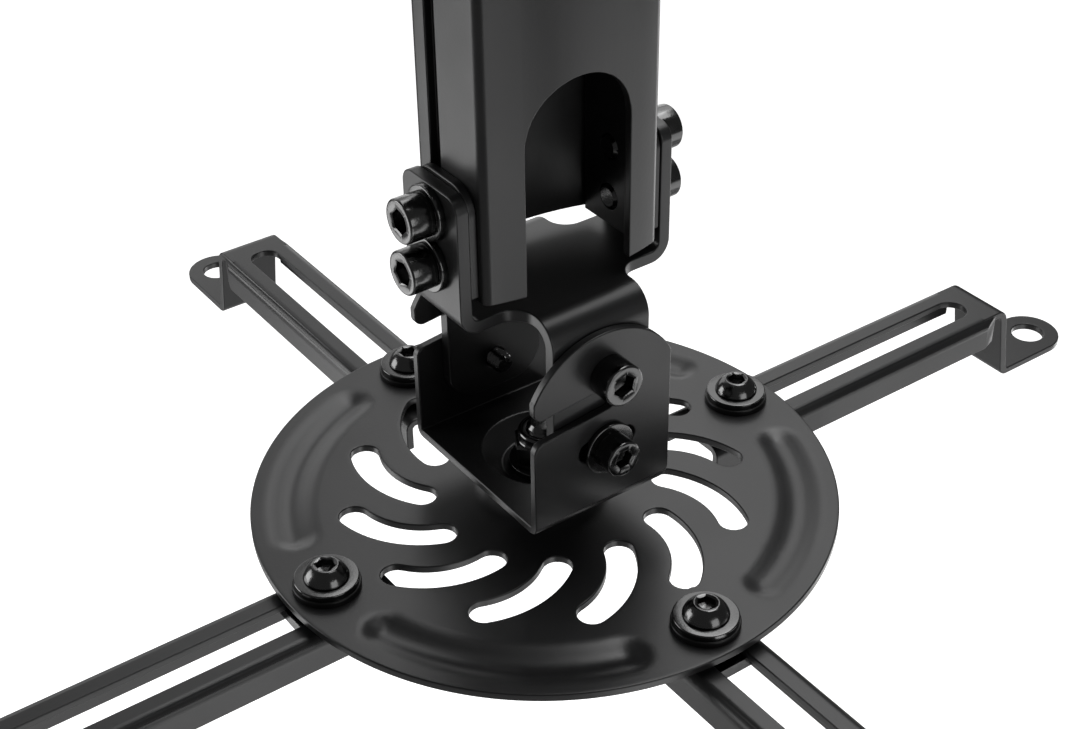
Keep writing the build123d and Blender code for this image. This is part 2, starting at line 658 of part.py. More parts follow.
def make_arm():
    """A channel, open downwards, with a long slot, folded down and out to an eyelet tab."""
    end_x = arm_in_r + arm_len
    foot = arm_top - arm_foot_drop
    lean = (arm_foot_drop - arm_t) * tan(radians(step_slant))
    heel_x, tip_x = end_x + lean, end_x + tab_reach
    neck_x, flange_x = end_x - arm_neck, end_x - arm_flange_out
    section = u_section(arm_half_y, arm_deep, arm_t, arm_bend)
    turned = Plane(origin=(arm_in_r, 0, arm_top), x_dir=(0, 1, 0), z_dir=(-1, 0, 0))
    channel = extrude(turned * section, amount=-(flange_x - arm_in_r))
    far_x = tip_x + tab_r
    fold = rounded([(neck_x, arm_top, 0), (end_x, arm_top, step_bend + arm_t),
                    (heel_x, foot + arm_t, arm_bend), (far_x, foot + arm_t, 0), (far_x, foot, 0),
                    (heel_x - arm_t, foot, arm_bend + arm_t),
                    (end_x - arm_t, arm_top - arm_t, step_bend), (neck_x, arm_top - arm_t, 0)])
    strip = extrude(across_x(0) * fold, amount=tab_r, both=True)
    strip &= extrude(Pos(0, 0, foot) * tab_outline(neck_x, tip_x), amount=arm_foot_drop)
    half = [(arm_in_r, arm_half_y), (neck_x, arm_half_y), (flange_x, tab_r)]
    outline = make_face(Polyline(*half, *[(x, -y) for x, y in reversed(half)], close=True))
    body = (channel & extrude(Pos(0, 0, foot) * outline, amount=arm_foot_drop)) + strip
    slot_a, slot_b = arm_in_r + arm_slot_in, end_x - arm_slot_out
    slot = Pos((slot_a + slot_b) / 2, 0, arm_top - arm_t - past) * SlotOverall(slot_b - slot_a, arm_slot_w)
    body -= extrude(slot, amount=arm_t + 2 * past)
    return body - rod_z(foot - past, foot + arm_t + past, eyelet_r, tip_x)


pieces = {
    "ceiling_plate": [make_ceiling_plate()],
    "ceiling_bracket": [make_ceiling_bracket()],
    "bracket_screws": make_bracket_screws(),
    "bracket_washers": make_bracket_washers(),
    "sleeve_nut_plates": make_sleeve_nut_plates(),
    "upper_sleeve": [make_upper_sleeve()],
    "sleeve_weld_nuts": make_sleeve_weld_nuts(),
    "column_lock_screws": make_column_lock_screws(),
    "column_front_channel": [make_column_front_channel()],
    "column_rear_channel": [make_column_rear_channel()],
    "ear_spacers": make_ear_spacers(),
    "ear_screws": make_ear_screws(),
    "ear_washers": make_ear_washers(),
    "yoke": [make_yoke()],
    "cradle_pivot_screws": make_cradle_pivot_screws(),
    "cradle_clamp_screws": make_cradle_clamp_screws(),
    "cradle_clamp_washers": make_cradle_clamp_washers(),
    "cradle": [make_cradle()],
    "pivot_bolt": [make_pivot_bolt()],
    "pivot_friction_washer": [make_pivot_friction_washer()],
    "pivot_washer": [make_pivot_washer()],
    "pivot_nut": [make_pivot_nut()],
    "pivot_nut_ring": [make_pivot_nut_ring()],
    "disc": [make_disc()],
    "arm_bolts": make_arm_bolts(),
    "arm_top_washers": make_arm_top_washers(),
    "arm_pad_washers": make_arm_pad_washers(),
    "arm_spacers": make_arm_spacers(),
}
for name, solids in (("nut_plate", around_disc(make_nut_plate())), ("arm", around_disc(make_arm()))):
    for k, solid in enumerate(solids):
        pieces[f"{name}_{k + 1}"] = [solid]

os.makedirs("parts", exist_ok=True)
for name, solids in pieces.items():
    solids = [s for shape in solids for s in shape.solids()]
    export_step(solids[0] if len(solids) == 1 else Compound(children=solids), f"parts/{name}.step")
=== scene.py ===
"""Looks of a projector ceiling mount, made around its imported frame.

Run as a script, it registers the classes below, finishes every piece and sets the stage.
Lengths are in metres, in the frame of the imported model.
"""
import json
from collections import namedtuple
from math import cos, pi, radians, sin, tan

import bmesh
import bpy
import numpy as np
from bpy.props import FloatProperty, FloatVectorProperty, IntProperty, PointerProperty
from mathutils import Matrix, Vector
from mathutils.geometry import delaunay_2d_cdt

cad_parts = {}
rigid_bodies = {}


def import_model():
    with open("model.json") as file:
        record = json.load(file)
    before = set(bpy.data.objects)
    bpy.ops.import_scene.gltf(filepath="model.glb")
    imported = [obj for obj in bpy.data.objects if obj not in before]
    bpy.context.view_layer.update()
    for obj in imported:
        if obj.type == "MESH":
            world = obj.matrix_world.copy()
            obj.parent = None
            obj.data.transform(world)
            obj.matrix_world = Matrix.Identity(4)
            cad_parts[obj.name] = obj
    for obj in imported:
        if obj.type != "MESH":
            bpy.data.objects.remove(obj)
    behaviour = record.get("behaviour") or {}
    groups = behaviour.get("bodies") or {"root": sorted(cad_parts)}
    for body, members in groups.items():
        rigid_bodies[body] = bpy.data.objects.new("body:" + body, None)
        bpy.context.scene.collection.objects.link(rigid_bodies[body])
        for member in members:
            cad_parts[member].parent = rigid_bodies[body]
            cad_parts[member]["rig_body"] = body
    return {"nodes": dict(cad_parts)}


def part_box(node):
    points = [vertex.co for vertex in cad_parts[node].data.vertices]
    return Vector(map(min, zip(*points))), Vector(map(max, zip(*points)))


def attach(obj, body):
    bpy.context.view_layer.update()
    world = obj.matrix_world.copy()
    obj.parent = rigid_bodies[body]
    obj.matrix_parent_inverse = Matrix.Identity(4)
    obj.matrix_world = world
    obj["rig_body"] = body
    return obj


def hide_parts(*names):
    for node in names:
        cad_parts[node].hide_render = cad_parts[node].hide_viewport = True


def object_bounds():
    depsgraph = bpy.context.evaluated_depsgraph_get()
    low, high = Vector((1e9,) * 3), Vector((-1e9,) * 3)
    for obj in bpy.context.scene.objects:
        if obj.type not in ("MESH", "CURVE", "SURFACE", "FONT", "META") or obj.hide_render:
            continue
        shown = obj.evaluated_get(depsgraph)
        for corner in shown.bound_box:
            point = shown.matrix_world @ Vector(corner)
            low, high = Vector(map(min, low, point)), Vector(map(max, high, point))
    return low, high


bl_info = {
    "name": "Projector ceiling mount",
    "version": (1, 0, 0),
    "blender": (4, 5, 0),
    "location": "View3D > Sidebar > Mount",
    "description": "Finishes the pieces of a projector ceiling mount and sets its stage",
    "category": "Object",
}

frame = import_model()
CAD_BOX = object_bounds()
MM = 0.001
MERGE_DISTANCE = 0.001 * MM
QUARTERS = np.arange(4) * pi / 2

# Nodes by the way they are finished
SHEET_NODES = ("ceiling_plate", "ceiling_bracket", "upper_sleeve", "sleeve_nut_plates",
               "column_front_channel", "column_rear_channel", "ear_spacers", "yoke", "cradle",
               "arm_1", "arm_2", "arm_3", "arm_4")
NUT_PLATE_NODES = ("nut_plate_1", "nut_plate_2", "nut_plate_3", "nut_plate_4")

# Screws. The socket is a hexagon, given by the distance between its flats.
Screw = namedtuple("Screw", "radius head_radius head_height socket_flats socket_depth pitch")
CAP_M6 = Screw(3.0 * MM, 5.0 * MM, 6.0 * MM, 5.0 * MM, 3.0 * MM, 1.0 * MM)
CAP_M5 = Screw(2.5 * MM, 4.4 * MM, 5.0 * MM, 4.0 * MM, 2.5 * MM, 0.8 * MM)
BUTTON_M6 = Screw(3.0 * MM, 5.25 * MM, 3.3 * MM, 4.0 * MM, 1.9 * MM, 1.0 * MM)
BUTTON_TOP_RADIUS = 2.9 * MM
BOLT_HOLE_GAP = 0.2 * MM

# Threads: depth and the tip's chamfer as shares of the pitch, rings of points in one turn
THREAD_DEPTH = 0.54
THREAD_CHAMFER = 0.75
RINGS_PER_TURN = 8

# The swivel's bolt and lock nut
M8_RADIUS = 4.0 * MM
M8_PITCH = 1.25 * MM
M8_HEAD_HEIGHT = 5.3 * MM
M8_HOLE_GAP = 0.05 * MM
M8_WASHER_GAP = 0.1 * MM
COLLAR_HEIGHT = 2.6 * MM
COLLAR_STEP = 0.5 * MM
COLLAR_WALL = 0.9 * MM
COLLAR_LIP = 0.8 * MM

# Radius of a nut's or bolt head's flat face, as a share of half its flats
FACE_SHARE = 0.97

# The picture's camera, from the middle of the disc's top face
CAMERA_FROM_DISC = Vector((-0.2026, -0.2862, 0.2784))
CAMERA_AZIMUTH = -35.2
CAMERA_ELEVATION = 34.72
CAMERA_ROLL = -0.9
FOCAL_PIXELS = 1866
PICTURE_WIDTH = 1080

# Lamps round the disc: direction in degrees from +X and above the disc, power in watts
LAMPS = ((0, -25, 1.3), (135, -25, 1.1), (270, -25, 0.7), (315, -25, 0.6), (280, -45, 0.6),
         (137, 9, 4.5), (274, 12, 2.0), (84, 15, 1.2), (53, 4, 1.3), (90, 38, 0.5),
         (50, 30, 0.8), (42, 45, 1.0), (0, 70, 3.8), (45, 62, 2.2))

# Strength of the floor's and the sky's white where the camera sees them, 1 being pure white
WHITE_SEEN = 0.97
FLOOR_HALF_SIDE = 8.0

# Faces of a turned piece that meet at more than this many degrees keep a crisp edge
CRISP_DEGREES = 35


class MountFinish(bpy.types.PropertyGroup):
    """Colours and surface of the mount's finishes."""
    coat_colour: FloatVectorProperty(name="Coat colour", description="Black powder coat",
                                     subtype="COLOR", size=3, min=0, max=1,
                                     default=(0.012, 0.012, 0.0125))
    coat_light: FloatVectorProperty(name="Coat light patches", description="Lighter patches of the coat",
                                    subtype="COLOR", size=3, min=0, max=1,
                                    default=(0.015, 0.015, 0.0155))
    coat_roughness: FloatProperty(name="Coat roughness", description="Middle roughness of the coat",
                                  min=0, max=1, default=0.33)
    coat_grain: FloatProperty(name="Coat grain", description="Size of the coat's fine orange peel",
                              subtype="DISTANCE", default=0.9 * MM)
    steel_colour: FloatVectorProperty(name="Hardware colour",
                                      description="Reflection of the black plated steel",
                                      subtype="COLOR", size=3, min=0, max=1,
                                      default=(0.11, 0.11, 0.11))
    steel_roughness: FloatProperty(name="Hardware roughness",
                                   description="Middle roughness of the plating",
                                   min=0, max=1, default=0.17)
    nylon_colour: FloatVectorProperty(name="Nylon colour", description="Black nylon", subtype="COLOR",
                                      size=3, min=0, max=1, default=(0.004, 0.004, 0.004))
    nylon_roughness: FloatProperty(name="Nylon roughness", description="Middle roughness of the nylon",
                                   min=0, max=1, default=0.35)


class MountShapes(bpy.types.PropertyGroup):
    """Sizes of the details that the frame leaves plain."""
    sheet_edge: FloatProperty(name="Sheet edge", description="Radius of the coated sheet's edges",
                              subtype="DISTANCE", default=0.35 * MM)
    edge_steps: IntProperty(name="Edge steps", description="Faces across a rounded sheet edge",
                            min=1, default=3)
    head_edge: FloatProperty(name="Head edge", description="Radius of the edge of a screw's head",
                             subtype="DISTANCE", default=0.55 * MM)
    socket_lead: FloatProperty(name="Socket lead-in", description="Width of the cone at a socket's mouth",
                               subtype="DISTANCE", default=0.3 * MM)
    washer_edge: FloatProperty(name="Washer edge", description="Radius of a washer's rolled edge",
                               subtype="DISTANCE", default=0.3 * MM)
    turns: IntProperty(name="Turned steps", description="Faces around a turned piece", min=24, default=96)


class MountDisc(bpy.types.PropertyGroup):
    """Sizes of the slotted disc."""
    rise: FloatProperty(name="Rise", description="Height of the raised centre",
                        subtype="DISTANCE", default=4.5 * MM)
    rise_radius: FloatProperty(name="Rise radius", description="Flat on top of the raised centre",
                               subtype="DISTANCE", default=10.0 * MM)
    rise_slope: FloatProperty(name="Rise slope", description="Width of its sloping side",
                              subtype="DISTANCE", default=5.5 * MM)
    bead_radius: FloatProperty(name="Bead radius", description="Arc that the pressed beads follow",
                               subtype="DISTANCE", default=60.5 * MM)
    bead_half_width: FloatProperty(name="Bead half width", description="Half the width of a bead",
                                   subtype="DISTANCE", default=5.25 * MM)
    bead_floor: FloatProperty(name="Bead floor", description="Half the flat along a bead's bottom",
                              subtype="DISTANCE", default=1.2 * MM)
    bead_depth: FloatProperty(name="Bead depth", description="Depth of a bead",
                              subtype="DISTANCE", default=1.5 * MM)
    bead_half_angle: FloatProperty(name="Bead half angle",
                                   description="Half the angle that a bead spans",
                                   subtype="ANGLE", default=radians(26))
    slot_width: FloatProperty(name="Slot width", description="Width of a curved slot",
                              subtype="DISTANCE", default=7.0 * MM)
    slot_count: IntProperty(name="Slots", description="Number of curved slots", min=1, default=12)
    grid_step: FloatProperty(name="Grid step",
                             description="Distance between points of the disc's surface",
                             subtype="DISTANCE", default=1.3 * MM)


class MountStage(bpy.types.PropertyGroup):
    """Floor and lamps."""
    floor_drop: FloatProperty(name="Floor drop", description="Floor below the lowest piece",
                              subtype="DISTANCE", default=0.60)
    floor_colour: FloatVectorProperty(name="Floor colour", description="Pale floor",
                                      subtype="COLOR", size=3, min=0, max=1,
                                      default=(0.8, 0.8, 0.8))
    lamp_power: FloatProperty(name="Lamp power", description="Share of every lamp's own power",
                              min=0, default=1)
    high_reach: FloatProperty(name="High lamps", description="Distance of the lamps above the disc",
                              subtype="DISTANCE", default=1.1)
    high_size: FloatProperty(name="High lamp size", description="Side of a lamp above the disc",
                             subtype="DISTANCE", default=0.6)
    low_reach: FloatProperty(name="Low lamps", description="Distance of the lamps below the disc",
                             subtype="DISTANCE", default=0.75)
    low_size: FloatProperty(name="Low lamp size", description="Side of a lamp below the disc",
                            subtype="DISTANCE", default=0.4)
    sky: FloatProperty(name="Sky", description="Strength of the even light all round", default=0.1)


# Meshes from grids of points

def grid_faces(rows, columns, close_columns):
    """Quads between neighbouring points of a grid whose rows close on themselves."""
    last = columns if close_columns else columns - 1
    r, c = np.meshgrid(np.arange(rows), np.arange(last), indexing="ij")
    r2, c2 = (r + 1) % rows, (c + 1) % columns
    quads = [r * columns + c, r2 * columns + c, r2 * columns + c2, r * columns + c2]
    return np.stack(quads, -1).reshape(-1, 4)


def add_piece(name, points, faces, sharp=CRISP_DEGREES):
    """An object from points and faces. Poles and seams are merged, faces are turned outwards
    and edges sharper than the given angle stay crisp."""
    mesh = bpy.data.meshes.new(name)
    mesh.from_pydata(points, [], faces)
    shape = bmesh.new()
    shape.from_mesh(mesh)
    bmesh.ops.remove_doubles(shape, verts=shape.verts, dist=MERGE_DISTANCE)
    bmesh.ops.recalc_face_normals(shape, faces=shape.faces)
    shape.to_mesh(mesh)
    shape.free()
    mesh.shade_smooth()
    mesh.set_sharp_from_angle(angle=radians(sharp))
    piece = bpy.data.objects.new(name, mesh)
    bpy.context.scene.collection.objects.link(piece)
    return piece


def surface_piece(name, copies, close_columns):
    """A mesh of several copies of one grid surface, shaped (copy, row, column, xyz), where
    rows run around the piece."""
    count, rows, columns = copies.shape[:3]
    one = grid_faces(rows, columns, close_columns)
    quads = (one[None] + (np.arange(count) * rows * columns)[:, None, None]).reshape(-1, 4)
    return add_piece(name, copies.reshape(-1, 3), quads)


def stand(points, places, axes, spins=None):
    """Copies of a surface made about +Z, each spun about it, turned so that it points along
    its axis, and moved to its place."""
    if spins is None:
        spins = np.zeros(len(places))
    copies = []
    for place, axis, spin in zip(places, axes, spins):
        tilt = Vector(axis).to_track_quat("Z", "Y").to_matrix()
        turn = np.array(tilt @ Matrix.Rotation(spin, 3, "Z"))
        copies.append(points @ turn.T + np.array(place))
    return np.stack(copies)


def finish_piece(piece, node, slot_name):
    """Give a piece its finish and let it stand for a node, on that node's body."""
    piece.data.materials.clear()
    piece.data.materials.append(finish_named(slot_name))
    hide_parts(node)
    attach(piece, frame["nodes"][node]["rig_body"])


# Turned and hexagonal shapes: a radius for each direction and each ring

# Further than anything here reaches, for a ring with no largest radius
FAR = 1.0


def hexagon(angle, flats):
    """Distance to a hexagon's side in each direction, with a corner at angle 0: half the
    flats over the cosine of the angle from the nearest side's middle."""
    return flats / 2 / np.cos(angle % (pi / 3) - pi / 6)


def thread_wave(angle, height, pitch):
    """Depth of a thread, 0 at the crest and 1 at the root: a triangle wave that climbs one
    pitch in one turn."""
    phase = (height / pitch - angle / (2 * pi)) % 1
    return 1 - np.abs(2 * phase - 1)


def ring_surface(rings, turns, flats=0.0, pitch=1.0):
    """Points of a shape given ring by ring.

    Each ring is (height, round radius, share of hexagon, share of thread, largest radius).
    The radius is a mix of the round one and the hexagon, less the thread's depth, and never
    more than the largest.
    """
    height, radius, hexed, threaded, largest = np.array(rings, float).T
    angle = np.linspace(0, 2 * pi, turns, endpoint=False)[:, None]
    side = hexagon(angle, flats) if flats else 0 * angle
    r = radius * (1 - hexed) + side * hexed
    depth = THREAD_DEPTH * pitch * threaded
    r = np.minimum(r - depth * thread_wave(angle, height, pitch), largest)
    return np.stack([r * np.cos(angle), r * np.sin(angle), height + 0 * angle], -1)


def plain(points):
    """Round rings through (height, radius) points."""
    return [(h, r, 0, 0, FAR) for h, r in points]


def arc(height, radius, size, start, end, steps=6):
    """Points (height, radius) on part of a circle, angles in degrees from +radius."""
    angles = np.radians(np.linspace(start, end, steps))
    return list(zip(height + size * np.sin(angles), radius + size * np.cos(angles)))


def threaded_shank(length, radius, pitch):
    """Rings of a threaded shank from its chamfered tip up to height 0."""
    chamfer = THREAD_CHAMFER * pitch
    count = max(RINGS_PER_TURN, int(RINGS_PER_TURN * length / pitch))
    heights = np.linspace(-length + chamfer, 0, count)
    rings = plain([(-length, 0), (-length, radius - chamfer)])
    return rings + [(h, radius, 0, 1, FAR) for h in heights]


def socket_rings(shapes, top, flats, depth):
    """Rings down a cone into a hexagon socket and to the middle of its floor."""
    lead = shapes.socket_lead
    corner = flats / 2 / cos(pi / 6)
    walls = [(top - lead, 0, 1, 0, FAR), (top - depth, 0, 1, 0, FAR)]
    return plain([(top, corner + lead)]) + walls + plain([(top - depth - 0.3 * corner, 0)])


def cap_screw(shapes, screw, length):
    """A socket cap screw, its seat at height 0 and its head above."""
    head, top = screw.head_radius, screw.head_height
    edge = shapes.head_edge
    foot = 0.4 * edge
    rings = threaded_shank(length, screw.radius, screw.pitch)
    rings += plain([(0, screw.radius), (0, head - foot)] + arc(foot, head - foot, foot, -90, 0, 4))
    rings += plain(arc(top - edge, head - edge, edge, 0, 90))
    rings += socket_rings(shapes, top, screw.socket_flats, screw.socket_depth)
    return ring_surface(rings, shapes.turns, screw.socket_flats, screw.pitch)


def button_screw(shapes, screw, length):
    """A button-head screw: its dome is the part of a sphere between the rim and a flat top,
    and the sphere's centre height follows from both radii."""
    head, top = screw.head_radius, screw.head_height
    rim = 0.1 * top
    centre = (BUTTON_TOP_RADIUS ** 2 + top ** 2 - head ** 2 - rim ** 2) / (2 * (top - rim))
    ball = (head ** 2 + (rim - centre) ** 2) ** 0.5
    heights = np.linspace(rim, top, 16)
    rings = threaded_shank(length, screw.radius, screw.pitch)
    rings += plain([(0, screw.radius), (0, head - 0.5 * rim), (0.5 * rim, head)])
    rings += plain(list(zip(heights, np.sqrt(ball ** 2 - (heights - centre) ** 2))))
    rings += socket_rings(shapes, top, screw.socket_flats, screw.socket_depth)
    return ring_surface(rings, shapes.turns, screw.socket_flats, screw.pitch)


def washer(shapes, outer, inner, thick):
    """A stamped washer: its upper outer edge is rolled over, the others are nearly square."""
    edge = shapes.washer_edge
    small = 0.3 * edge
    path = arc(thick - edge, outer - edge, edge, 0, 90)
    path += arc(thick - small, inner + small, small, 90, 180)
    path += arc(small, inner + small, small, 180, 270)
    path += arc(small, outer - small, small, -90, 0)
    return ring_surface(plain(path), shapes.turns)


def trimmed_hexagon(flats, heights, cone_from):
    """Rings of a hexagon that a 30 degree cone trims, from the heights it starts at, which
    gives each side its curved corners."""
    reach = FACE_SHARE * flats / 2 + np.abs(heights - cone_from) * tan(radians(60))
    return [(h, 0, 1, 0, r) for h, r in zip(heights, reach)]


def hex_nut(shapes, flats, height, bore, pitch):
    """A nut, trimmed by a cone at both ends, with a threaded bore."""
    face = FACE_SHARE * flats / 2
    low = np.linspace(0, 0.14 * height, 7)
    rings = plain([(0, face)]) + trimmed_hexagon(flats, low, 0)
    rings += trimmed_hexagon(flats, height - low[::-1], height)
    rings += plain([(height, face), (height, bore + 0.6 * pitch)])
    count = max(RINGS_PER_TURN, int(RINGS_PER_TURN * height / pitch))
    wall = np.linspace(height - 0.5 * pitch, 0.5 * pitch, count)
    rings += [(h, bore + 0.3 * pitch, 0, 0.5, FAR) for h in wall]
    rings += plain([(0, bore + 0.6 * pitch)])
    return ring_surface(rings, shapes.turns, flats, pitch)


def swivel_bolt(shapes, flats, length):
    """The swivel's bolt: a hexagon head trimmed by a cone below, and a shank threaded above."""
    head, chamfer = M8_HEAD_HEIGHT, THREAD_CHAMFER * M8_PITCH
    heights = np.append(np.linspace(0, 0.15 * head, 7), head)
    rings = plain([(0, 0), (0, FACE_SHARE * flats / 2)]) + trimmed_hexagon(flats, heights, 0)
    shank = np.linspace(head, length - chamfer, int(RINGS_PER_TURN * (length - head) / M8_PITCH))
    rings += [(h, M8_RADIUS, 0, 1 if h > 2 * head else 0, FAR) for h in shank]
    rings += plain([(length, M8_RADIUS - chamfer), (length, 0)])
    return ring_surface(rings, shapes.turns, flats, M8_PITCH)


def lock_nut(shapes, flats, height):
    """A lock nut: hexagon below, and a round collar whose lip is rolled over the nylon ring."""
    bore = M8_RADIUS + M8_HOLE_GAP
    hex_top, collar = height - COLLAR_HEIGHT, flats / 2 - COLLAR_STEP
    inner, lip = collar - COLLAR_WALL, COLLAR_LIP
    rings = plain([(0, FACE_SHARE * flats / 2)])
    rings += trimmed_hexagon(flats, np.linspace(0, 0.12 * hex_top, 6), 0)
    rings += trimmed_hexagon(flats, np.linspace(0.8 * hex_top, hex_top, 8), hex_top)
    rings += plain([(hex_top, collar + 0.2 * MM), (hex_top + 0.3 * MM, collar)])
    rings += plain(arc(height - lip, collar - lip, lip, 0, 90, 7))
    rings += plain([(height, inner - 0.1 * MM), (height - 0.3 * MM, inner)])
    rings += plain([(hex_top, inner), (hex_top, bore), (0, bore)])
    return ring_surface(rings, shapes.turns, flats)


# Shader groups and materials

FINISH_NAME = "{}_finish"


def shader_group(name, inputs, outputs):
    """An empty group of shader nodes with named number inputs and outputs."""
    tree = bpy.data.node_groups.new(name, "ShaderNodeTree")
    for label, default in inputs:
        socket = tree.interface.new_socket(label, in_out="INPUT", socket_type="NodeSocketFloat")
        socket.default_value = default
    for label in outputs:
        tree.interface.new_socket(label, in_out="OUTPUT", socket_type="NodeSocketFloat")
    return tree, tree.nodes.new("NodeGroupInput"), tree.nodes.new("NodeGroupOutput")


def math_node(tree, operation, first, second):
    """A Math node whose two inputs are sockets or numbers; returns its output."""
    node = tree.nodes.new("ShaderNodeMath")
    node.operation = operation
    for socket, value in zip(node.inputs, (first, second)):
        if isinstance(value, (int, float)):
            socket.default_value = value
        else:
            tree.links.new(value, socket)
    return node.outputs[0]


def noise_node(tree, scale, detail):
    """Noise on Object coordinates, its scale given by a socket. Returns its value."""
    place = tree.nodes.new("ShaderNodeTexCoord")
    node = tree.nodes.new("ShaderNodeTexNoise")
    node.inputs["Detail"].default_value = detail
    tree.links.new(place.outputs["Object"], node.inputs["Vector"])
    tree.links.new(scale, node.inputs["Scale"])
    return node.outputs["Fac"]


def orange_peel_group():
    """Height of a sprayed coat: soft bumps of one size with a little finer grain on them."""
    tree, given, out = shader_group("orange_peel", [("Size", MM), ("Fine share", 0.3)], ["Height"])
    scale = math_node(tree, "DIVIDE", 1.0, given.outputs["Size"])
    coarse = noise_node(tree, scale, 1.0)
    fine = noise_node(tree, math_node(tree, "MULTIPLY", scale, 3.7), 2.0)
    total = math_node(tree, "ADD", coarse, math_node(tree, "MULTIPLY", fine, given.outputs["Fine share"]))
    tree.links.new(total, out.inputs["Height"])


def soft_patches_group():
    """A value that drifts between two levels in broad soft patches."""
    inputs = [("Size", 0.03), ("Low", 0.0), ("High", 1.0)]
    tree, given, out = shader_group("soft_patches", inputs, ["Value"])
    noise = noise_node(tree, math_node(tree, "DIVIDE", 1.0, given.outputs["Size"]), 3.0)
    level = tree.nodes.new("ShaderNodeMapRange")
    tree.links.new(noise, level.inputs["Value"])
    level.inputs["From Min"].default_value = 0.35
    level.inputs["From Max"].default_value = 0.65
    tree.links.new(given.outputs["Low"], level.inputs["To Min"])
    tree.links.new(given.outputs["High"], level.inputs["To Max"])
    tree.links.new(level.outputs["Result"], out.inputs["Value"])


def group_node(tree, name, **values):
    """Place a group in a material and set its inputs, named with underscores for spaces."""
    node = tree.nodes.new("ShaderNodeGroup")
    node.node_tree = bpy.data.node_groups[name]
    for label, value in values.items():
        node.inputs[label.replace("_", " ")].default_value = value
    return node.outputs[0]


def finish_material(name, colours, roughness, spread, grain, depth, patches):
    """A finish with soft patches of colour and roughness, and a fine bumpy skin whose grain
    has a size and a depth. Returns its shader."""
    material = bpy.data.materials.new(FINISH_NAME.format(name))
    material.use_nodes = True
    tree = material.node_tree
    shader = tree.nodes["Principled BSDF"]
    mix = tree.nodes.new("ShaderNodeMix")
    mix.data_type = "RGBA"
    tree.links.new(group_node(tree, "soft_patches", Size=patches), mix.inputs[0])
    mix.inputs[6].default_value = (*colours[0], 1)
    mix.inputs[7].default_value = (*colours[1], 1)
    tree.links.new(mix.outputs[2], shader.inputs["Base Color"])
    rough = group_node(tree, "soft_patches", Size=0.6 * patches, Low=roughness - spread,
                       High=roughness + spread)
    tree.links.new(rough, shader.inputs["Roughness"])
    bump = tree.nodes.new("ShaderNodeBump")
    bump.inputs["Strength"].default_value = 0.35
    bump.inputs["Distance"].default_value = depth
    tree.links.new(group_node(tree, "orange_peel", Size=grain), bump.inputs["Height"])
    tree.links.new(bump.outputs["Normal"], shader.inputs["Normal"])
    return shader


def make_finishes():
    """The coat, the plated hardware and the nylon."""
    finish = bpy.context.scene.mount_finish
    orange_peel_group()
    soft_patches_group()
    coat = finish_material("powder_coat", (finish.coat_colour, finish.coat_light), finish.coat_roughness,
                           spread=0.03, grain=finish.coat_grain, depth=0.03 * MM, patches=40 * MM)
    coat.inputs["Specular IOR Level"].default_value = 0.5
    steel = finish_material("black_hardware", (finish.steel_colour, finish.steel_colour),
                            finish.steel_roughness, spread=0.04, grain=0.45 * MM, depth=0.04 * MM,
                            patches=4 * MM)
    steel.inputs["Metallic"].default_value = 1
    nylon = finish_material("black_nylon", (finish.nylon_colour, finish.nylon_colour),
                            finish.nylon_roughness, spread=0.04, grain=0.4 * MM, depth=0.01 * MM,
                            patches=10 * MM)
    nylon.inputs["Specular IOR Level"].default_value = 0.35


def finish_named(slot_name):
    """The finish of a material slot. All are built on the first call."""
    name = FINISH_NAME.format(slot_name)
    if name not in bpy.data.materials:
        make_finishes()
    return bpy.data.materials[name]


# Sheet pieces. The small steps beside an arm's tab lie between two distances along the arm
# and two across it, above a height.

SHARP_ANGLE = radians(32)
SAME_FACE_ANGLE = radians(0.3)
STEP_REACH = (141.9 * MM, 146.6 * MM)
STEP_ACROSS = (7.4 * MM, 9.2 * MM)
STEP_BOTTOM = -386.9 * MM


def round_edges(piece, edge, steps, limit="ANGLE"):
    """Round the edges that are sharper than a bend's facets, or those with a bevel weight,
    and keep flat faces flat."""
    bevel = piece.modifiers.new("rounded edges", "BEVEL")
    bevel.width = edge
    bevel.segments = steps
    bevel.limit_method = limit
    bevel.angle_limit = SHARP_ANGLE
    bevel.use_clamp_overlap = False
    bevel.miter_outer = "MITER_ARC"
    normals = piece.modifiers.new("flat faces stay flat", "WEIGHTED_NORMAL")
    normals.keep_sharp = True


def in_step(point):
    """Whether a point lies on the small steps beside the tab of an arm."""
    across, reach = sorted((abs(point.x), abs(point.y)))
    beside = STEP_ACROSS[0] < across < STEP_ACROSS[1]
    return beside and STEP_REACH[0] < reach < STEP_REACH[1] and point.z > STEP_BOTTOM


def weigh_edges(shape):
    """Give the edges to round a bevel weight: the sharp ones, but for an arm's small steps,
    whose sides are shorter than the rounding."""
    weight = shape.edges.layers.float.new("bevel_weight_edge")
    for edge in shape.edges:
        sharp = edge.is_manifold and edge.calc_face_angle() > SHARP_ANGLE
        edge[weight] = float(sharp and not all(in_step(v.co) for v in edge.verts))


def rounded_copy(name, node, edge, steps):
    """A copy of a node's mesh, its triangles merged into whole faces, its edges rounded."""
    mesh = frame["nodes"][node].data.copy()
    mesh.name = name
    shape = bmesh.new()
    shape.from_mesh(mesh)
    bmesh.ops.remove_doubles(shape, verts=shape.verts, dist=MERGE_DISTANCE)
    bmesh.ops.dissolve_limit(shape, angle_limit=SAME_FACE_ANGLE, verts=shape.verts, edges=shape.edges)
    weigh_edges(shape)
    shape.to_mesh(mesh)
    shape.free()
    mesh.shade_smooth()
    piece = bpy.data.objects.new(name, mesh)
    bpy.context.scene.collection.objects.link(piece)
    round_edges(piece, edge, steps, "WEIGHT")
    return piece


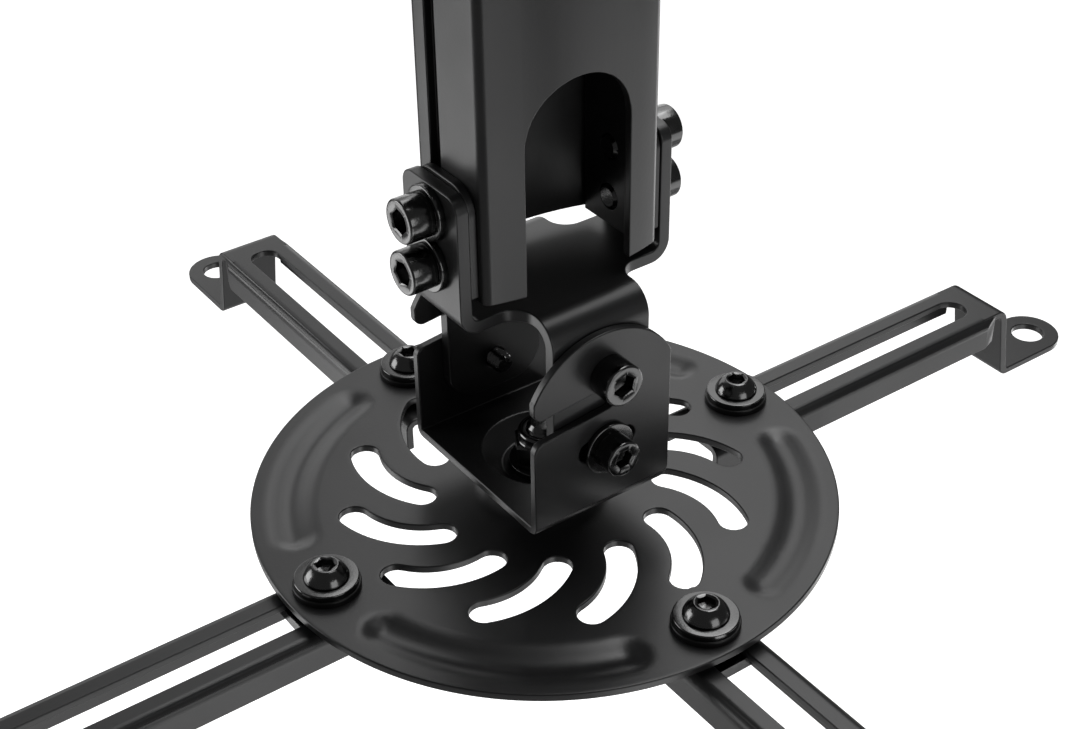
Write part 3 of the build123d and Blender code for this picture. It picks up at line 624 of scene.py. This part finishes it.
class MOUNT_OT_sheet(bpy.types.Operator):
    """Round the edges of the folded sheet and coat it black"""
    bl_idname = "mount.sheet"
    bl_label = "Coated sheet"

    def execute(self, context):
        shapes = context.scene.mount_shapes
        for node in SHEET_NODES:
            piece = rounded_copy(f"{node}_coated", node, shapes.sheet_edge, shapes.edge_steps)
            finish_piece(piece, node, "powder_coat")
        for node in NUT_PLATE_NODES:
            piece = rounded_copy(f"{node}_plated", node, 0.5 * shapes.sheet_edge, shapes.edge_steps)
            finish_piece(piece, node, "black_hardware")
        return {"FINISHED"}


# The disc: a flat sheet of points between its outlines, lifted and pressed by formula

SLOT_ARC_RADIUS = 22.15 * MM
SLOT_CENTRE_RADIUS = 28.9 * MM
SLOT_CENTRE_ANGLE = radians(-134.8)
SLOT_INNER_REACH = 29.3 * MM
SLOT_OUTER_REACH = 46.0 * MM
RISE_SOFTNESS = 1.5 * MM
BEAD_SOFTNESS = 0.5 * MM
RIM_POINTS = 240
MERGE_MILLIMETRES = 1e-5


def polar(radius, angle):
    """Points at a radius and an angle, as an array of xy pairs."""
    return np.stack(np.broadcast_arrays(radius * np.cos(angle), radius * np.sin(angle)), -1)


def spread_points(radius, step):
    """Points about a step apart on a circle, at least twelve."""
    count = max(12, int(2 * pi * radius / step))
    return polar(radius, 2 * pi * np.arange(count) / count)


def turned(xy, angle):
    """Points turned about the axis by an angle."""
    return xy @ np.array([[cos(angle), sin(angle)], [-sin(angle), cos(angle)]])


def bolt_distance(xy, bolt_circle):
    """Distance of points from the nearest of the four bolts' axes."""
    return np.stack([np.hypot(*(xy - polar(bolt_circle, a)).T) for a in QUARTERS]).min(axis=0)


def slot_ends():
    """Angles of a slot's two ends about its arc's centre, by the law of cosines."""
    reach = np.array([SLOT_INNER_REACH, SLOT_OUTER_REACH])
    centre, radius = SLOT_CENTRE_RADIUS, SLOT_ARC_RADIUS
    turn = (centre ** 2 + radius ** 2 - reach ** 2) / (2 * centre * radius)
    return SLOT_CENTRE_ANGLE + pi - np.arccos(turn)


def slot_outline(half_width, step):
    """The closed outline of the first slot: out along one side, round its end, and back."""
    start, end = slot_ends()
    centre = polar(SLOT_CENTRE_RADIUS, SLOT_CENTRE_ANGLE)
    along = np.linspace(start, end, max(8, int(abs(end - start) * SLOT_ARC_RADIUS / step)))
    cap = np.linspace(0, pi, 12)[1:-1]
    sign = np.sign(end - start)
    outer = centre + polar(SLOT_ARC_RADIUS + half_width, along)
    inner = centre + polar(SLOT_ARC_RADIUS - half_width, along[::-1])
    far = centre + polar(SLOT_ARC_RADIUS, end) + polar(half_width, end + sign * cap)
    near = centre + polar(SLOT_ARC_RADIUS, start) + polar(half_width, start + pi + sign * cap)
    return np.concatenate([outer, far, inner, near])


def slot_distance(xy, count):
    """Distance of points from the nearest slot's centre line: along its arc the difference of
    radii, past its ends the distance to the end point."""
    centre = polar(SLOT_CENTRE_RADIUS, SLOT_CENTRE_ANGLE)
    start, end = np.sort(slot_ends())
    ends = centre + polar(SLOT_ARC_RADIUS, np.array([start, end]))
    nearest = np.full(len(xy), FAR)
    for k in range(count):
        points = turned(xy, -2 * pi * k / count)
        from_centre = points - centre
        angle = np.arctan2(from_centre[:, 1], from_centre[:, 0])
        past = (angle - start) % (2 * pi) > end - start
        radial = np.abs(np.hypot(*from_centre.T) - SLOT_ARC_RADIUS)
        tip = np.minimum(np.hypot(*(points - ends[0]).T), np.hypot(*(points - ends[1]).T))
        nearest = np.minimum(nearest, np.where(past, tip, radial))
    return nearest


def soft_ramp(x, soft):
    """0 below 0 and x above it, with a parabola between -soft and soft."""
    return np.where(np.abs(x) < soft, (x + soft) ** 2 / (4 * soft), np.maximum(x, 0))


def disc_height(xy, sizes):
    """Height over the disc's flat face: a raised flat centre with a sloping side, and four
    beads whose section is a rounded trapezoid, by distance from their arc."""
    r = np.hypot(xy[:, 0], xy[:, 1])
    fall = soft_ramp(r - sizes.rise_radius, RISE_SOFTNESS)
    fall = fall - soft_ramp(r - sizes.rise_radius - sizes.rise_slope, RISE_SOFTNESS)
    centre = sizes.rise * (1 - fall / sizes.rise_slope)
    angle = np.arctan2(xy[:, 1], xy[:, 0]) % (pi / 2) - pi / 4
    end = polar(sizes.bead_radius, sizes.bead_half_angle)
    tip = np.hypot(r * np.cos(angle) - end[0], r * np.abs(np.sin(angle)) - end[1])
    away = np.where(np.abs(angle) < sizes.bead_half_angle, np.abs(r - sizes.bead_radius), tip)
    side = sizes.bead_half_width - sizes.bead_floor
    climb = soft_ramp(away - sizes.bead_floor, BEAD_SOFTNESS)
    climb = climb - soft_ramp(away - sizes.bead_half_width, BEAD_SOFTNESS)
    return centre - sizes.bead_depth * (1 - climb / side)


def bolt_circle_radius():
    """Distance of the arms' bolts from the axis: the outermost head's reach less its radius."""
    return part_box("arm_bolts")[1].x - BUTTON_M6.head_radius


def disc_sheet(sizes, rim, bolt_circle, hole, centre_hole):
    """Points and triangles of the disc seen from above.

    The outlines of rim, holes and slots are joined with a polar grid of points that keeps
    clear of them, and triangles inside a hole or a slot are left out.
    """
    step, half_slot = sizes.grid_step, sizes.slot_width / 2
    clear = 0.6 * step
    whole = 2 * pi * np.arange(RIM_POINTS) / RIM_POINTS
    small = whole[::6]
    outline = slot_outline(half_slot, step)
    loops = [polar(rim, whole), polar(centre_hole, small)]
    loops += [turned(outline, 2 * pi * k / sizes.slot_count) for k in range(sizes.slot_count)]
    loops += [polar(bolt_circle, a) + polar(hole, small) for a in QUARTERS]
    radii = np.arange(centre_hole + step, rim - clear, step)
    grid = np.concatenate([spread_points(r, step) for r in radii])
    keep = slot_distance(grid, sizes.slot_count) > half_slot + clear
    keep &= bolt_distance(grid, bolt_circle) > hole + clear
    points = np.concatenate(loops + [grid[keep]])
    edges, first = [], 0
    for loop in loops:
        index = first + np.arange(len(loop))
        edges.append(np.stack([index, np.roll(index, -1)], -1))
        first += len(loop)
    # In millimetres, so that no two points are as near as the distance at which they merge
    flat = [Vector(p) for p in points / MM]
    found = delaunay_2d_cdt(flat, np.concatenate(edges).tolist(), [], 0, MERGE_MILLIMETRES)
    xy = np.array([tuple(v) for v in found[0]]) * MM
    faces = np.array(found[2])
    middle = xy[faces].mean(axis=1)
    r = np.hypot(*middle.T)
    solid = (r < rim) & (r > centre_hole) & (bolt_distance(middle, bolt_circle) > hole)
    solid &= slot_distance(middle, sizes.slot_count) > half_slot
    return xy, faces[solid]


def thick_sheet(xy, faces, height, thick):
    """Points and faces of a sheet with a given height of its upper side at each point. The
    lower side is the same surface one thickness down, its faces turned over, and a wall
    stands on every edge that only one face has."""
    upper = np.column_stack([xy, height])
    lower = np.column_stack([xy, height - thick])
    count = len(xy)
    sides = np.concatenate([faces[:, [0, 1]], faces[:, [1, 2]], faces[:, [2, 0]]])
    edges, uses = np.unique(np.sort(sides, axis=1), axis=0, return_counts=True)
    rim = edges[uses == 1]
    walls = np.column_stack([rim, rim[:, ::-1] + count])
    polygons = faces.tolist() + (faces[:, ::-1] + count).tolist() + walls.tolist()
    return np.concatenate([upper, lower]), polygons


class MOUNT_OT_disc(bpy.types.Operator):
    """Press and slot the disc"""
    bl_idname = "mount.disc"
    bl_label = "Slotted disc"

    def execute(self, context):
        sizes, shapes = context.scene.mount_disc, context.scene.mount_shapes
        top = disc_face().z
        low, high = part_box("disc")
        hole = BUTTON_M6.radius + BOLT_HOLE_GAP
        xy, faces = disc_sheet(sizes, high.x, bolt_circle_radius(), hole, M8_RADIUS + M8_HOLE_GAP)
        thick = top - sizes.bead_depth - low.z
        points, polygons = thick_sheet(xy, faces, top + disc_height(xy, sizes), thick)
        piece = add_piece("disc_coated", points, polygons, 180)
        round_edges(piece, shapes.sheet_edge, shapes.edge_steps)
        finish_piece(piece, "disc", "powder_coat")
        return {"FINISHED"}


# Screws and washers. Side screws point along X (0) or Y (1), and each socket is spun by
# some degrees, the first of a node by its own number and the next ones by a step more.

CAP_SCREW_NODES = (("ear_screws", 0, CAP_M6, 12), ("bracket_screws", 0, CAP_M6, 40),
                   ("column_lock_screws", 0, CAP_M6, 25), ("cradle_pivot_screws", 1, CAP_M6, 20),
                   ("cradle_clamp_screws", 1, CAP_M5, 5))
NEXT_SPIN = 17.0
ARM_BOLT_SPINS = (10, 35, 20, 48)
SIDE_WASHER_NODES = (("ear_washers", 0, CAP_M6), ("bracket_washers", 0, CAP_M6),
                     ("cradle_clamp_washers", 1, CAP_M5))
ARM_WASHER_NODES = (("arm_top_washers", "black_hardware"), ("arm_pad_washers", "black_nylon"),
                    ("arm_spacers", "black_hardware"))
SWIVEL_WASHER_NODES = (("pivot_nut_ring", "black_nylon"), ("pivot_washer", "black_hardware"),
                       ("pivot_friction_washer", "black_nylon"))


def side_rows(node, along, radius):
    """Places and outward axes of a node's screws or washers of a given radius, which lie in
    mirrored pairs along X (0) or Y (1), one pair or two above each other. The place is on
    the outermost face."""
    low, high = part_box(node)
    across = 1 - along
    heights = [(low.z + high.z) / 2]
    if high.z - low.z > 3 * radius:
        heights = [low.z + radius, high.z - radius]
    places, axes = [], []
    for height in heights:
        for side in (-1, 1):
            place, axis = [0.0, 0.0, height], [0, 0, 0]
            place[along] = side * high[along]
            place[across] = (high[across] + low[across]) / 2
            axis[along] = side
            places.append(place)
            axes.append(axis)
    return np.array(places), np.array(axes, float)


def inner_reach(node, along):
    """How near a node's points come to the middle plane."""
    return min(abs(v.co[along]) for v in frame["nodes"][node].data.vertices)


class MOUNT_OT_cap_screws(bpy.types.Operator):
    """Make the socket cap screws, with rounded heads, sockets and threads"""
    bl_idname = "mount.cap_screws"
    bl_label = "Cap screws"

    def execute(self, context):
        shapes = context.scene.mount_shapes
        for node, along, screw, spin in CAP_SCREW_NODES:
            ends, axes = side_rows(node, along, screw.head_radius)
            seats = ends - axes * screw.head_height
            length = abs(seats[0][along]) - inner_reach(node, along)
            spins = np.radians(spin + NEXT_SPIN * np.arange(len(ends)))
            surface = cap_screw(shapes, screw, length)
            piece = surface_piece(f"{node}_threaded", stand(surface, seats, axes, spins), False)
            finish_piece(piece, node, "black_hardware")
        return {"FINISHED"}


class MOUNT_OT_side_washers(bpy.types.Operator):
    """Make the washers under the cap screws"""
    bl_idname = "mount.side_washers"
    bl_label = "Side washers"

    def execute(self, context):
        shapes = context.scene.mount_shapes
        for node, along, screw in SIDE_WASHER_NODES:
            low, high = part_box(node)
            outer = (high[1 - along] - low[1 - along]) / 2
            ends, axes = side_rows(node, along, outer)
            thick = high[along] - inner_reach(node, along)
            surface = washer(shapes, outer, screw.radius + BOLT_HOLE_GAP, thick)
            piece = surface_piece(f"{node}_rolled", stand(surface, ends - axes * thick, axes), True)
            finish_piece(piece, node, "black_hardware")
        return {"FINISHED"}


def arm_places(reach, height):
    """Places on the four arms at a distance from the axis, with upward axes."""
    places = np.column_stack([polar(reach, QUARTERS), np.full(4, height)])
    return places, np.tile([0.0, 0.0, 1.0], (4, 1))


class MOUNT_OT_arm_bolts(bpy.types.Operator):
    """Make the button-head bolts that hold the arms"""
    bl_idname = "mount.arm_bolts"
    bl_label = "Arm bolts"

    def execute(self, context):
        shapes = context.scene.mount_shapes
        low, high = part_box("arm_bolts")
        seat = high.z - BUTTON_M6.head_height
        places, axes = arm_places(bolt_circle_radius(), seat)
        surface = button_screw(shapes, BUTTON_M6, seat - low.z)
        spins = np.radians(ARM_BOLT_SPINS)
        piece = surface_piece("arm_bolts_threaded", stand(surface, places, axes, spins), False)
        finish_piece(piece, "arm_bolts", "black_hardware")
        return {"FINISHED"}


class MOUNT_OT_arm_washers(bpy.types.Operator):
    """Make the steel washer, nylon washer and spacer of each arm's bolt"""
    bl_idname = "mount.arm_washers"
    bl_label = "Arm washers"

    def execute(self, context):
        shapes = context.scene.mount_shapes
        reach = bolt_circle_radius()
        for node, slot_name in ARM_WASHER_NODES:
            low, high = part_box(node)
            places, axes = arm_places(reach, low.z)
            surface = washer(shapes, high.x - reach, BUTTON_M6.radius + BOLT_HOLE_GAP, high.z - low.z)
            piece = surface_piece(f"{node}_rolled", stand(surface, places, axes), True)
            finish_piece(piece, node, slot_name)
        return {"FINISHED"}


class MOUNT_OT_swivel(bpy.types.Operator):
    """Make the swivel's bolt, lock nut, nylon ring and washers"""
    bl_idname = "mount.swivel"
    bl_label = "Swivel bolt"

    def execute(self, context):
        shapes = context.scene.mount_shapes
        up = [(0, 0, 1)]
        low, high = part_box("pivot_bolt")
        surface = swivel_bolt(shapes, high.y - low.y, high.z - low.z)
        piece = surface_piece("swivel_bolt_threaded", stand(surface, [(0, 0, low.z)], up), False)
        finish_piece(piece, "pivot_bolt", "black_hardware")
        low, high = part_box("pivot_nut")
        surface = lock_nut(shapes, high.y - low.y, high.z - low.z)
        piece = surface_piece("lock_nut", stand(surface, [(0, 0, low.z)], up), True)
        finish_piece(piece, "pivot_nut", "black_hardware")
        for node, slot_name in SWIVEL_WASHER_NODES:
            low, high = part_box(node)
            surface = washer(shapes, high.x, M8_RADIUS + M8_WASHER_GAP, high.z - low.z)
            piece = surface_piece(f"{node}_rolled", stand(surface, [(0, 0, low.z)], up), True)
            finish_piece(piece, node, slot_name)
        return {"FINISHED"}


class MOUNT_OT_weld_nuts(bpy.types.Operator):
    """Make the nuts welded to the sleeve"""
    bl_idname = "mount.weld_nuts"
    bl_label = "Weld nuts"

    def execute(self, context):
        shapes = context.scene.mount_shapes
        low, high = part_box("sleeve_weld_nuts")
        inner = inner_reach("sleeve_weld_nuts", 0)
        axes = [(-1, 0, 0), (1, 0, 0)]
        places = [(side * inner, (low.y + high.y) / 2, (low.z + high.z) / 2) for side in (-1, 1)]
        surface = hex_nut(shapes, high.y - low.y, high.x - inner, CAP_M6.radius, CAP_M6.pitch)
        copies = stand(surface, places, axes, [pi / 6, pi / 6])
        piece = surface_piece("weld_nuts_threaded", copies, True)
        finish_piece(piece, "sleeve_weld_nuts", "black_hardware")
        return {"FINISHED"}


# Stage

def disc_face():
    """The middle of the disc's flat top face, which its pads rest on."""
    return Vector((0, 0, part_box("arm_pad_washers")[0].z))


def add_camera():
    """A camera at the picture's place, angle and focal length."""
    data = bpy.data.cameras.new("camera")
    data.sensor_width = 36
    data.lens = data.sensor_width * FOCAL_PIXELS / PICTURE_WIDTH
    data.clip_start = 0.01
    camera = bpy.data.objects.new("camera", data)
    bpy.context.scene.collection.objects.link(camera)
    a, e, roll = radians(CAMERA_AZIMUTH), radians(CAMERA_ELEVATION), radians(CAMERA_ROLL)
    back = Vector((sin(a) * cos(e), -cos(a) * cos(e), sin(e)))
    right = Vector((cos(a), sin(a), 0))
    up = back.cross(right)
    axes = (right * cos(roll) + up * sin(roll), up * cos(roll) - right * sin(roll), back)
    turn = Matrix(axes).transposed().to_4x4()
    camera.matrix_world = Matrix.Translation(disc_face() + CAMERA_FROM_DISC) @ turn
    bpy.context.scene.camera = camera


def floor_material(colour):
    """A pale floor that looks white to the camera, and elsewhere is as bright as it is lit."""
    material = bpy.data.materials.new("pale_floor")
    material.use_nodes = True
    tree = material.node_tree
    shader = tree.nodes["Principled BSDF"]
    shader.inputs["Base Color"].default_value = (*colour, 1)
    shader.inputs["Roughness"].default_value = 0.9
    shader.inputs["Specular IOR Level"].default_value = 0.1
    path = tree.nodes.new("ShaderNodeLightPath")
    shader.inputs["Emission Color"].default_value = (1, 1, 1, 1)
    seen = math_node(tree, "MULTIPLY", path.outputs["Is Camera Ray"], WHITE_SEEN)
    tree.links.new(seen, shader.inputs["Emission Strength"])
    return material


def add_floor(stage):
    """A large flat floor below the mount."""
    level = CAD_BOX[0][2] - stage.floor_drop
    mesh = bpy.data.meshes.new("floor")
    side = FLOOR_HALF_SIDE
    corners = [(-side, -side, level), (side, -side, level), (side, side, level), (-side, side, level)]
    mesh.from_pydata(corners, [], [(0, 1, 2, 3)])
    floor = bpy.data.objects.new("floor", mesh)
    bpy.context.scene.collection.objects.link(floor)
    mesh.materials.append(floor_material(stage.floor_colour))


def add_lamp(stage, azimuth, elevation, power):
    """A square soft lamp that faces the disc from a direction, angles in degrees. It isn't
    seen by the camera itself, only in reflections."""
    reach, size = stage.high_reach, stage.high_size
    if elevation < 0:
        reach, size = stage.low_reach, stage.low_size
    data = bpy.data.lights.new(f"lamp {azimuth} {elevation}", "AREA")
    data.shape = "SQUARE"
    data.size = size
    data.energy = power * stage.lamp_power
    lamp = bpy.data.objects.new(data.name, data)
    bpy.context.scene.collection.objects.link(lamp)
    a, e = radians(azimuth), radians(elevation)
    toward = Vector((cos(a) * cos(e), sin(a) * cos(e), sin(e)))
    lamp.location = disc_face() + reach * toward
    lamp.rotation_euler = toward.to_track_quat("Z", "Y").to_euler()
    lamp.visible_camera = False


def add_sky(strength):
    """Even grey light all round, white where the camera sees it."""
    world = bpy.data.worlds.new("sky")
    bpy.context.scene.world = world
    world.use_nodes = True
    tree = world.node_tree
    back = tree.nodes["Background"]
    path = tree.nodes.new("ShaderNodeLightPath")
    back.inputs["Color"].default_value = (1, 1, 1, 1)
    extra = math_node(tree, "MULTIPLY", path.outputs["Is Camera Ray"], WHITE_SEEN - strength)
    tree.links.new(math_node(tree, "ADD", extra, strength), back.inputs["Strength"])


class MOUNT_OT_stage(bpy.types.Operator):
    """Set the floor, the lamps, the sky and the camera"""
    bl_idname = "mount.stage"
    bl_label = "Stage"

    def execute(self, context):
        stage = context.scene.mount_stage
        add_camera()
        add_floor(stage)
        for azimuth, elevation, power in LAMPS:
            add_lamp(stage, azimuth, elevation, power)
        add_sky(stage.sky)
        context.scene.view_settings.view_transform = "Standard"
        return {"FINISHED"}


class MOUNT_PT_panel(bpy.types.Panel):
    """Lists the mount's operators"""
    bl_label = "Projector mount"
    bl_idname = "MOUNT_PT_panel"
    bl_space_type = "VIEW_3D"
    bl_region_type = "UI"
    bl_category = "Mount"

    def draw(self, context):
        for operator in OPERATORS:
            self.layout.operator(operator.bl_idname)


SETTINGS = (("mount_finish", MountFinish), ("mount_shapes", MountShapes), ("mount_disc", MountDisc),
            ("mount_stage", MountStage))
OPERATORS = (MOUNT_OT_stage, MOUNT_OT_sheet, MOUNT_OT_disc, MOUNT_OT_cap_screws, MOUNT_OT_side_washers,
             MOUNT_OT_arm_bolts, MOUNT_OT_arm_washers, MOUNT_OT_swivel, MOUNT_OT_weld_nuts)


def register():
    for name, group in SETTINGS:
        bpy.utils.register_class(group)
        setattr(bpy.types.Scene, name, PointerProperty(type=group))
    for operator in OPERATORS:
        bpy.utils.register_class(operator)
    bpy.utils.register_class(MOUNT_PT_panel)


def unregister():
    bpy.utils.unregister_class(MOUNT_PT_panel)
    for operator in reversed(OPERATORS):
        bpy.utils.unregister_class(operator)
    for name, group in reversed(SETTINGS):
        delattr(bpy.types.Scene, name)
        bpy.utils.unregister_class(group)


def main():
    register()
    for operator in OPERATORS:
        group, name = operator.bl_idname.split(".")
        getattr(getattr(bpy.ops, group), name)()


if __name__ == "__main__":
    main()
